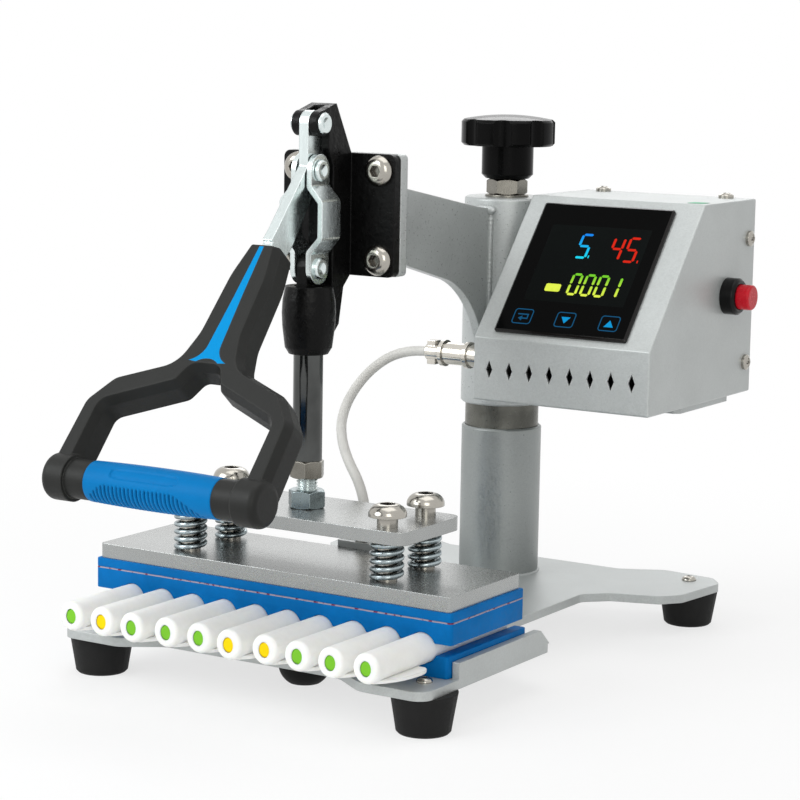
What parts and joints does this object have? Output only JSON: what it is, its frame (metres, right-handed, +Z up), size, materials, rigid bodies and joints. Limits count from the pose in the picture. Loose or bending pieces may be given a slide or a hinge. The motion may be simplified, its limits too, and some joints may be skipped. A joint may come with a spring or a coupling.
{
  "type": "pen heat press",
  "caption": "Bench toggle press with a spring-mounted heated platen, grooved silicone bed for pens, handle and sloping control box.",
  "frame": {"origin": "on the table, at the flat face of the centre foot under the middle of the heated platen", "axes": "+X right along the platen, +Y back towards the post, +Z up"},
  "size_m": [0.2971, 0.4243, 0.3245],
  "materials": {
    "silver_paint": "fine metallic satin",
    "black_rubber": "matte",
    "bright_steel": "bright",
    "blue_silicone": "matte",
    "post_steel": "satin",
    "black_casting": "rough gloss",
    "zinc_steel": "zinc plated",
    "display_glass": "gloss",
    "black_plastic": "semi gloss",
    "nickel_plate": "bright",
    "handle_plastic": "satin",
    "blue_plastic": "satin",
    "spring_steel": "satin",
    "platen_metal": "satin",
    "white_lead": "matte",
    "red_plastic": "gloss",
    "white_silicone": "matte",
    "green_plastic": "gloss",
    "yellow_plastic": "gloss"
  },
  "bodies": {
    "frame": {"base_plate": "silver_paint", "rubber_feet": "black_rubber", "centre_foot": "black_rubber", "foot_screws": "bright_steel", "lower_pad": "blue_silicone", "post_tube": "post_steel", "inner_shaft": "post_steel", "head_sleeve": "silver_paint", "arm_plate": "silver_paint", "weld_beads": "silver_paint", "end_plate": "silver_paint", "flange_bolts": "bright_steel", "toggle_casting": "black_casting", "lever_pin": "zinc_steel", "lock_washer": "zinc_steel", "lock_nut": "zinc_steel", "box_shell": "silver_paint", "box_back": "silver_paint", "box_screws": "bright_steel", "box_bracket": "silver_paint", "display_panel": "display_glass", "controller_module": "black_plastic", "button_bezel": "black_plastic", "inlet_socket": "black_plastic", "switch_frame": "black_plastic", "plug_socket": "nickel_plate", "cable_plug": "nickel_plate"},
    "knob_screw": {"height_screw": "zinc_steel"},
    "knob": {"star_knob": "black_plastic"},
    "lever": {"lever_plate": "zinc_steel", "crank_pin": "zinc_steel", "handle_yoke": "handle_plastic", "handle_inlay": "blue_plastic", "hand_grip": "blue_plastic", "grip_core": "zinc_steel"},
    "links": {"link_plates": "zinc_steel", "link_studs": "zinc_steel"},
    "plunger": {"plunger_rod": "post_steel", "plunger_tongue": "black_casting", "tongue_pin": "zinc_steel", "jam_nut": "zinc_steel", "plunger_stud": "zinc_steel", "lower_nut": "zinc_steel", "carrier_plate": "silver_paint", "platen_springs": "spring_steel"},
    "platen": {"heater_plate": "platen_metal", "upper_pad_thin": "blue_silicone", "upper_pad_grooved": "blue_silicone", "guide_bolts": "bright_steel", "terminal_cover": "silver_paint", "cable_gland": "nickel_plate", "heater_cable": "white_lead"},
    "button": {"button_cap": "red_plastic"},
    "rocker": {"power_rocker": "black_plastic"},
    "pens": {"pen_wraps": "white_silicone", "pens_green": "green_plastic", "pens_yellow": "yellow_plastic"}
  },
  "joints": [
    {"name": "lever_hinge", "type": "hinge", "parent": "frame", "child": "lever", "pos_m": [0, 0, 0.3138], "axis": [-1, 0, 0], "range_deg": [0, 110]},
    {"name": "link_hinge", "type": "hinge", "parent": "lever", "child": "links", "pos_m": [0, 0, 0.2882], "axis": [-1, 0, 0], "range_deg": [-137, 0]},
    {"name": "plunger_slide", "type": "slide", "parent": "frame", "child": "plunger", "axis": [0, 0, 1], "range_m": [0, 0.0401]},
    {"name": "platen_float", "type": "slide", "parent": "plunger", "child": "platen", "axis": [0, 0, 1], "range_m": [0, 0.003], "stiffness_N_per_m": 16000, "springref_m": -0.003, "deforming": ["platen_springs"]},
    {"name": "knob_lift", "type": "slide", "parent": "frame", "child": "knob_screw", "axis": [0, 0, 1], "range_m": [0, 0.0053]},
    {"name": "knob_turn", "type": "hinge", "parent": "knob_screw", "child": "knob", "pos_m": [0, 0.217, 0.29], "axis": [0, 0, 1], "range_deg": [0, 1080]},
    {"name": "button_press", "type": "slide", "parent": "frame", "child": "button", "axis": [-1, 0, 0], "range_m": [0, 0.003], "stiffness_N_per_m": 400, "springref_m": -0.001},
    {"name": "power_switch", "type": "hinge", "parent": "frame", "child": "rocker", "pos_m": [0.11, 0.2638, 0.185], "axis": [1, 0, 0], "range_deg": [0, 16]},
    {"name": "pens_slide", "type": "slide", "parent": "frame", "child": "pens", "axis": [0, -1, 0], "range_m": [0, 0.12]}
  ],
  "couplings": [
    {"joint": "link_hinge", "follows": "lever_hinge", "ratio": -1.2419},
    {"joint": "plunger_slide", "follows": "lever_hinge", "m_per_rad": 0.020858},
    {"joint": "knob_lift", "follows": "knob_turn", "m_per_rad": 0.00027852}
  ]
}
